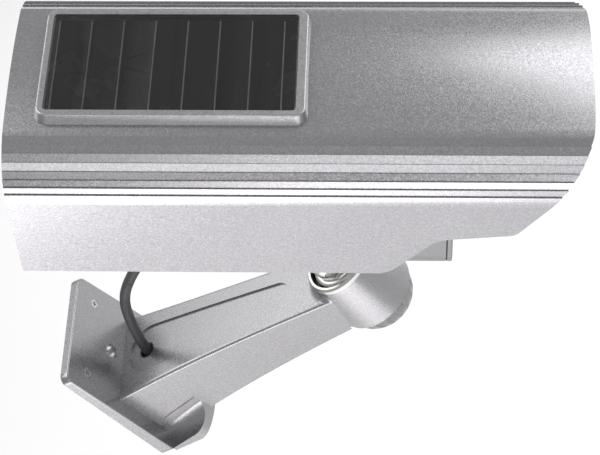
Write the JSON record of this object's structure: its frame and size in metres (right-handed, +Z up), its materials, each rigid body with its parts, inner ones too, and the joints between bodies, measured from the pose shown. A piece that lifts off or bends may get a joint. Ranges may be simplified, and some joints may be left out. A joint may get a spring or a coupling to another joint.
{
  "type": "security camera",
  "caption": "Wall-mounted outdoor bullet camera: domed ribbed sun shield with a solar panel on top, on a cast arm with a swivel hub, a tilt pin and a clamp knob.",
  "frame": {"origin": "centre of the wall plate's back face", "axes": "+X points straight out of the wall, +Z up the wall, +Y to the left seen from in front"},
  "size_m": [0.3592, 0.1204, 0.272],
  "materials": {
    "cast_paint": "satin silver paint on cast aluminium",
    "shield_paint": "fine metallic silver paint on an aluminium extrusion",
    "frame_paint": "satin silver paint on a moulded frame",
    "housing_paint": "satin silver paint",
    "bright_metal": "turned and lightly polished",
    "knob_paint": "satin grey",
    "steel": "plain zinc-plated",
    "spacer_aluminium": "turned",
    "black_rubber": "matte",
    "black_plastic": "matte",
    "cable_jacket": "matte dark grey jacket",
    "solar_cell": "near-black thin film",
    "panel_board": "dull brownish grey board",
    "circuit_board": "green solder mask",
    "chip_black": "moulded package",
    "clear_glass": "clear and polished",
    "filter_glass": "coated blue-green",
    "light_plastic": "clear moulded package",
    "battery_wrap": "green shrink sleeve"
  },
  "bodies": {
    "root": {"wall_plate": "cast_paint", "backing_plate": "steel", "plate_screws": "steel", "arm_screws": "steel", "arm": "cast_paint", "arm_cover": "cast_paint", "arm_cover_screws": "steel", "cable_grommet": "black_rubber", "hub_ring": "bright_metal", "friction_washer": "black_plastic", "cable": "cable_jacket"},
    "swivel": {"swivel_yoke": "bright_metal", "tilt_pin": "steel"},
    "camera": {"stem": "bright_metal", "lock_nut": "steel", "camera_foot": "housing_paint", "foot_screws": "steel", "sun_shield": "shield_paint", "shield_spacers": "spacer_aluminium", "shield_screws": "steel", "solar_frame": "frame_paint", "solar_board": "panel_board", "solar_cells": "solar_cell", "solar_cover": "clear_glass", "solar_lead": "cable_jacket", "lead_bush": "black_rubber", "camera_housing": "housing_paint", "front_bezel": "housing_paint", "front_gasket": "black_rubber", "rear_cover": "housing_paint", "rear_gasket": "black_rubber", "end_screws": "steel", "button_spring": "steel", "front_window": "clear_glass", "window_gasket": "black_rubber", "window_retainer": "black_plastic", "led_board": "circuit_board", "infrared_lights": "light_plastic", "status_light": "light_plastic", "light_sensor": "chip_black", "lens_barrel": "black_plastic", "front_lens": "clear_glass", "lens_stop": "black_plastic", "rear_lens": "clear_glass", "lens_mount": "black_plastic", "infrared_filter": "filter_glass", "image_sensor": "chip_black", "sensor_board": "circuit_board", "main_board": "circuit_board", "board_chips": "chip_black", "board_posts": "spacer_aluminium", "board_screws": "steel", "battery_tray": "black_plastic", "battery_cells": "battery_wrap", "gland_body": "black_plastic", "gland_cap": "black_plastic"},
    "clamp_slide": {"thrust_washer": "steel"},
    "clamp_knob": {"clamp_knob": "knob_paint", "clamp_screw": "steel"},
    "button": {"power_button": "black_rubber"}
  },
  "joints": [
    {"name": "pan", "type": "hinge", "parent": "root", "child": "swivel", "pos_m": [0.165, 0, -0.007], "axis": [0, 0, 1], "range_deg": [-60, 60], "deforming": ["cable"]},
    {"name": "tilt", "type": "hinge", "parent": "swivel", "child": "camera", "pos_m": [0.165, 0, 0.0135], "axis": [0, 1, 0], "range_deg": [-36, 10], "deforming": ["cable"]},
    {"name": "clamp_travel", "type": "slide", "parent": "root", "child": "clamp_slide", "axis": [0, 0, -1], "range_m": [0, 0.00125]},
    {"name": "clamp_turn", "type": "hinge", "parent": "clamp_slide", "child": "clamp_knob", "pos_m": [0.165, 0, -0.033], "axis": [0, 0, -1], "range_deg": [0, 360]},
    {"name": "button_press", "type": "slide", "parent": "camera", "child": "button", "axis": [0.8059, 0, -0.592], "range_m": [0, 0.0015], "stiffness_N_per_m": 600, "springref_m": -0.0005, "deforming": ["button_spring"]}
  ],
  "couplings": [
    {"joint": "clamp_travel", "follows": "clamp_turn", "m_per_rad": 0.00019894}
  ]
}
